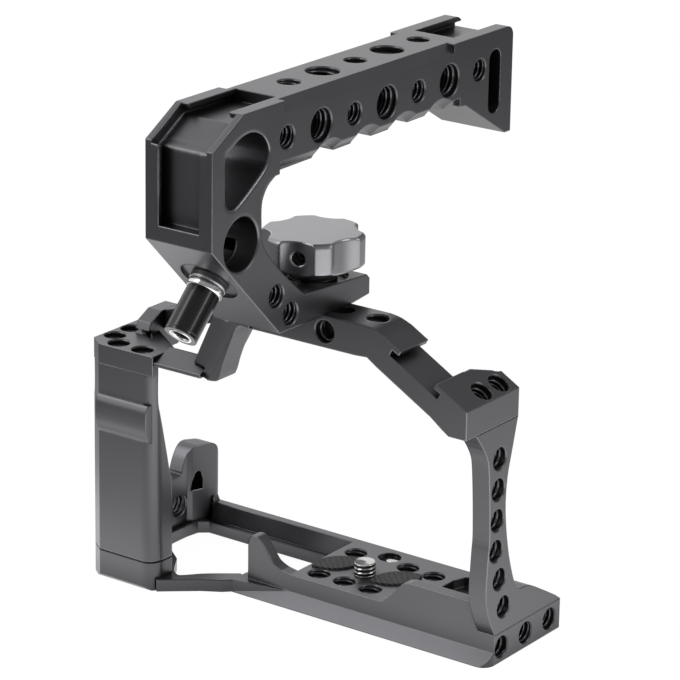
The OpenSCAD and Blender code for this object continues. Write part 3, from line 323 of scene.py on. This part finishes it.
# Threads. Every hole is tapped to take a quarter inch or a three eighths inch screw. The ridges are cut
# in the wall and anodised with it, so they show as fine dark and light turns inside each mouth. Their
# colour is painted darker than the wall's, a painted shade inside the holes.
ridge_root, ridge_crest = 0.44, 0.07
hole_ridge, end_margin, least_fade = 0.55, 0.9, 0.02
wall_overlap = 0.00002
quarter_pitch, three_eighths_pitch = 0.00127, 0.0015875
widest_quarter_radius = 0.004
thread_names = {"deck": "deck_threads", "end": "end_threads", "upright": "upright_threads",
                "bar": "bar_threads", "corner": "bar_threads", "head": "head_threads",
                "handle": "handle_threads", "foot": "handle_threads", "side": "side_threads"}


def frame_of(axis):
    """Two unit vectors square to the axis and to each other."""
    axis = np.array(axis, float)
    side = np.cross(axis, [0, 0, 1] if abs(axis[2]) < 0.9 else [0, 1, 0])
    side /= np.linalg.norm(side)
    return side, np.cross(axis, side)


def helix_ridge(middle, axis, radius, length, pitch, height, steps=22):
    """Ridge wound round an axis. Along the turn angle t the ridge climbs by pitch * t / 2 pi; across it the
    profile runs root, crest, crest, root, and the crest's height fades to nothing over the first and last
    half turn. A negative height points inwards."""
    turns = (length - pitch * end_margin) / pitch
    angle = np.linspace(0, 2 * pi * turns, int(turns * steps) + 1)[:, None]
    fade = np.clip(np.minimum(angle, angle[-1] - angle) / pi, least_fade, 1)
    across = np.array([-ridge_root, -ridge_crest, ridge_crest, ridge_root])[None, :] * pitch
    lift = np.array([0.0, 1.0, 1.0, 0.0])[None, :] * height * fade
    along = angle * pitch / (2 * pi) + across - turns * pitch / 2
    axis = np.array(axis, float)
    one, two = frame_of(axis)
    ring = np.cos(angle)[..., None] * one + np.sin(angle)[..., None] * two
    points = np.array(middle, float) + ring * (radius + lift)[..., None] + along[..., None] * axis
    count = len(angle)
    first = (np.arange(count - 1) * 4)[:, None, None]
    hops = np.array([[0, 1, 5, 4], [1, 2, 6, 5], [2, 3, 7, 6], [3, 0, 4, 7]])[None]
    ends = np.array([[3, 2, 1, 0], [4 * count - 4, 4 * count - 3, 4 * count - 2, 4 * count - 1]])
    faces = np.vstack([(first + hops).reshape(-1, 4), ends])
    return points.reshape(-1, 3), faces[:, ::-1] if height > 0 else faces


def joined(parts):
    """Points and faces of several parts in one array each."""
    start = np.cumsum([0] + [len(points) for points, faces in parts])
    return np.vstack([points for points, faces in parts]), np.vstack(
        [faces + start[i] for i, (points, faces) in enumerate(parts)])


thread_parts = {}
for mount in frame["record"]["mounts"]:
    if mount["kind"] == "threaded_hole":
        radius, length = mount["dims"]["r_mm"] / 1000, mount["dims"]["length_mm"] / 1000
        pitch = quarter_pitch if radius < widest_quarter_radius else three_eighths_pitch
        ridge = helix_ridge(mount["pos_m"], mount["axis"], radius + wall_overlap, length, pitch,
                            -hole_ridge * pitch)
        thread_parts.setdefault(thread_names[mount["name"].split("_")[0]], []).append(ridge)
# The wall's anodised finish, painted darker as painted shade inside the holes.
anodised_threads_painted_dark = satin_metal("anodised_threads_painted_dark", (0.11, 0.109, 0.116), 0.3, edge=0.0001, grain=0.0)
for name, parts in thread_parts.items():
    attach(mesh_object(name, *joined(parts), anodised_threads_painted_dark), "cage")

# Camera screw. Turned from stainless steel and cut with the quarter inch thread; it stands on the deck
# between the pads and is driven from below through the slot in its head. The ridge stays inside the
# deck's bore, which the screw is drawn down into. The key, its magnet, pins and stud are bright too.
stainless = {"colour": (0.62, 0.61, 0.6), "roughness": 0.2, "edge": 0.0002, "grain": 0.1, "metallic": 1.0}
dress(satin_metal("bright_steel", **stainless), "stowed_key", "frame_dowels", "anti_twist_pins", "knob_stud",
      "key_magnet")
screw_root, screw_ridge = 0.003115, 0.06 * quarter_pitch
thread_middle, thread_length = 0.011, 0.0036
thread_foot = thread_middle - thread_length / 2
first_crest = thread_middle - (thread_length + (1 - end_margin) * quarter_pitch) / 2
# Its thread's grooves are painted darker, a painted shade.
threaded_steel = satin_metal("threaded_steel", thread=(first_crest, quarter_pitch, thread_foot), **stainless)
dress(threaded_steel, "camera_screw")
screw_thread = helix_ridge((0, 0, thread_middle), (0, 0, 1), screw_root, thread_length, quarter_pitch,
                           screw_ridge, steps=40)
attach(mesh_object("camera_screw_thread", *screw_thread, threaded_steel), "camera_screw_turning")

# Rubber pads. They are moulded with a wavy rib all over and glued in the deck's pockets, so that the
# camera stands on them without slipping or scratching.
rib_scale, rib_bend, rib_depth = 260.0, 2.4, 0.00022


def rubber_material():
    """Matt rubber whose ribs are waves: the sine of the place across them, bent by a slow noise. Its colour
    follows the ribs as painted shade: darker in the valleys, lighter on the crests.
    """
    material, wire = new_material("pad_rubber")
    place = wire.add("TexCoord", out="Object")
    bands = {"wave_type": "BANDS", "bands_direction": "DIAGONAL"}
    ribs = wire.add("TexWave", bands, Vector=place, Scale=rib_scale, Distortion=rib_bend, Detail=1.0)
    fine = wire.add("TexNoise", None, Vector=place, Scale=3000.0, Detail=2.0)
    rounded = wire.add("Bevel", {"samples": 6}, 0.0002)
    relief = ribs + fine * 0.25
    ribbed = wire.add("Bump", None, Strength=0.9, Distance=rib_depth, Height=relief, Normal=rounded)
    # Painted shade: the rib valleys are painted darker and the crests lighter.
    tone = ribs.colour((0.035, 0.035, 0.036), (0.105, 0.105, 0.108))
    surface = wire.add("BsdfPrincipled", None, Base_Color=tone, Roughness=ribs * 0.1 + 0.62, Normal=ribbed)
    wire.add("OutputMaterial", None, surface)
    return material


dress(rubber_material(), "pad_left", "pad_right")

# Small screws and washers. They are turned from steel and blackened: the cap screws that hold the
# blocks together, the washers under the knob and the camera screw, and what presses on the rod.
dress(satin_metal("blackened_steel", (0.05, 0.05, 0.053), 0.35), "upright_screws", "grip_screws",
      "frame_screws", "knob_washer", "knob_set_screw", "clamp_stud", "camera_screw_ring", "clamp_cotter")

# Star knob. It is turned and milled from aluminium, its lobes are rounded over, and it is blasted and
# anodised silver grey. Its stud draws the handle's foot down on the top bar.
dress(satin_metal("silver_anodised", (0.33, 0.33, 0.345), 0.3, edge=0.0011, grain=0.5), "star_knob")

# Rod clamp screw. Its barrel is turned and polished black; a plated collar joins it to the handle, and
# a plated ring lines the socket in its end.
polished = {"grain": 0.0, "metallic": 1.0}
dress(satin_metal("gloss_black", (0.055, 0.055, 0.058), 0.18, edge=0.0004, **polished), "clamp_barrel",
      "clamp_end_ring")
dress(satin_metal("turned_ring", (0.42, 0.42, 0.43), 0.3), "clamp_root_ring")
plated = satin_metal("plated_ring", (0.78, 0.78, 0.79), 0.16, edge=0.0003, **polished)
clamp_root, clamp_outward = (-0.00455, -0.0693, 0.116138), (0.0, -1.0, -1.0)
collar_profile = ((0.0046, 0.001), (0.0049, 0.001), (0.00515, 0.00125), (0.0052, 0.0018), (0.0052, 0.0030),
                  (0.0050, 0.0034), (0.0046, 0.0036))
lining_profile = ((0.0024, 0.0163), (0.0034, 0.0163), (0.0034, 0.0175), (0.0031, 0.0176), (0.0026, 0.0174),
                  (0.0024, 0.0171))


def turned_ring(middle, axis, profile, steps=64):
    """Closed ring: each profile point, a radius and a place along the axis, is carried once round it."""
    axis = np.array(axis, float) / np.linalg.norm(axis)
    one, two = frame_of(axis)
    angle = np.linspace(0, 2 * pi, steps, endpoint=False)[:, None, None]
    radius, along = np.array(profile).T[:, None, :, None]
    points = np.array(middle, float) + radius * (np.cos(angle) * one + np.sin(angle) * two) + along * axis
    count = len(profile)
    i, j = (grid.ravel() for grid in np.meshgrid(np.arange(steps), np.arange(count), indexing="ij"))
    after, beside = (i + 1) % steps, (j + 1) % count
    faces = np.stack([i * count + j, after * count + j, after * count + beside, i * count + beside], 1)
    return points.reshape(-1, 3), faces


for name, profile in (("clamp_collar", collar_profile), ("clamp_socket_lining", lining_profile)):
    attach(mesh_object(name, *turned_ring(clamp_root, clamp_outward, profile), plated), "clamp_screw")
